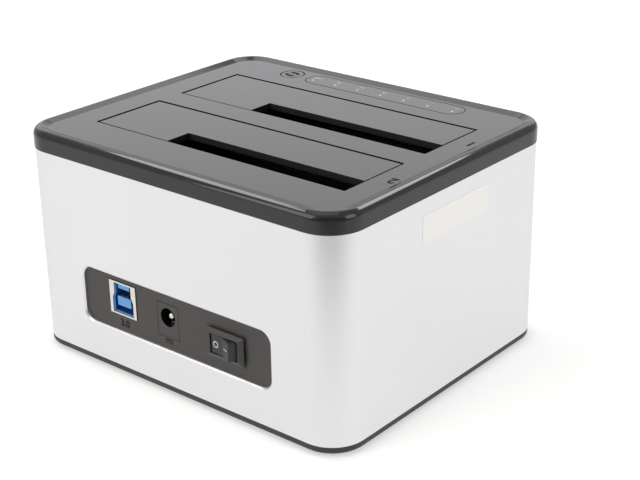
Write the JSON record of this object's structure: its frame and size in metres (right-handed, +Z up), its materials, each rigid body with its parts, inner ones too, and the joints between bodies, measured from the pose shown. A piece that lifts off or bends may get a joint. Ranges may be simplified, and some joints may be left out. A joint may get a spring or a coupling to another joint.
{
  "type": "dual-bay drive docking station",
  "caption": "USB drive dock: aluminium sleeve, glossy black lid with sprung flaps over its drive bays, and a rear panel with USB-B port, DC jack and rocker switch.",
  "frame": {"origin": "below the middle of the whole dock, on the plane its feet stand on", "axes": "+Z up, +Y towards the rear panel with the sockets, -Y the front with the indicator strip, +X right as seen from the front"},
  "size_m": [0.1318, 0.1128, 0.0771],
  "materials": {
    "anodised_aluminium": "fine bead-blasted and clear anodised, satin",
    "gloss_black": "glossy black ABS",
    "dark_plastic": "fine-textured dark grey ABS",
    "panel_plastic": "matte dark ABS panel",
    "frame_plastic": "matte black ABS moulding",
    "rubber": "soft black rubber",
    "steel": "bright steel",
    "spring_steel": "drawn spring wire",
    "black_screw": "black zinc",
    "nickel": "nickel plate, satin",
    "usb_blue": "blue nylon insulator",
    "black_nylon": "black nylon",
    "gold": "gold-flashed contact",
    "board_green": "solder resist on glass laminate",
    "chip_black": "epoxy moulding",
    "can_aluminium": "sleeved capacitor can",
    "film": "printed polyester film",
    "clear_acrylic": "clear acrylic",
    "lamp": "white lamp body",
    "lead_sleeve": "grey flat cable",
    "red_insulation": "PVC insulation",
    "white_nylon": "natural nylon plug",
    "button_black": "glossy black ABS with a printed mark"
  },
  "bodies": {
    "dock": {"side_sleeve": "anodised_aluminium", "top_cover": "gloss_black", "base_plate": "dark_plastic", "rubber_feet": "rubber", "io_panel": "panel_plastic", "drive_cradle": "frame_plastic", "flap_pin_a": "steel", "flap_pin_b": "steel", "flap_spring_a": "spring_steel", "flap_spring_b": "spring_steel", "base_screws": "black_screw", "cradle_screws": "steel", "board_screws": "steel", "indicator_screws": "steel", "usb_shell": "nickel", "usb_insert": "usb_blue", "usb_contacts": "gold", "dc_body": "black_nylon", "dc_pin": "nickel", "dc_leaf": "nickel", "switch_housing": "black_nylon", "switch_terminals": "gold", "switch_leads": "red_insulation", "main_board": "board_green", "board_chips": "chip_black", "board_capacitors": "can_aluminium", "sata_socket_a": "black_nylon", "sata_socket_b": "black_nylon", "sata_contacts": "gold", "indicator_film": "film", "light_guide": "clear_acrylic", "indicator_board": "board_green", "indicator_lamps": "lamp", "tact_body": "chip_black", "indicator_lead": "lead_sleeve", "lead_plugs": "white_nylon"},
    "flap_a": {"flap_a": "gloss_black"},
    "flap_b": {"flap_b": "gloss_black"},
    "rocker": {"switch_rocker": "black_nylon"},
    "button": {"clone_button": "button_black", "tact_plunger": "white_nylon"}
  },
  "joints": [
    {"name": "flap_a_hinge", "type": "hinge", "parent": "dock", "child": "flap_a", "pos_m": [0, -0.03565, 0.0719], "axis": [-1, 0, 0], "range_deg": [0, 90], "stiffness_Nm_per_rad": 0.012, "springref_deg": -57.3, "deforming": ["flap_spring_a"]},
    {"name": "flap_b_hinge", "type": "hinge", "parent": "dock", "child": "flap_b", "pos_m": [0, 0.00335, 0.0719], "axis": [-1, 0, 0], "range_deg": [0, 90], "stiffness_Nm_per_rad": 0.012, "springref_deg": -57.3, "deforming": ["flap_spring_b"]},
    {"name": "power_rocker", "type": "hinge", "parent": "dock", "child": "rocker", "pos_m": [-0.02195, 0.0524, 0.025], "axis": [0, 0, 1], "range_deg": [0, 27]},
    {"name": "clone_press", "type": "slide", "parent": "dock", "child": "button", "axis": [0, 0, -1], "range_m": [0, 0.0005], "stiffness_N_per_m": 1500, "springref_m": -0.0006}
  ]
}
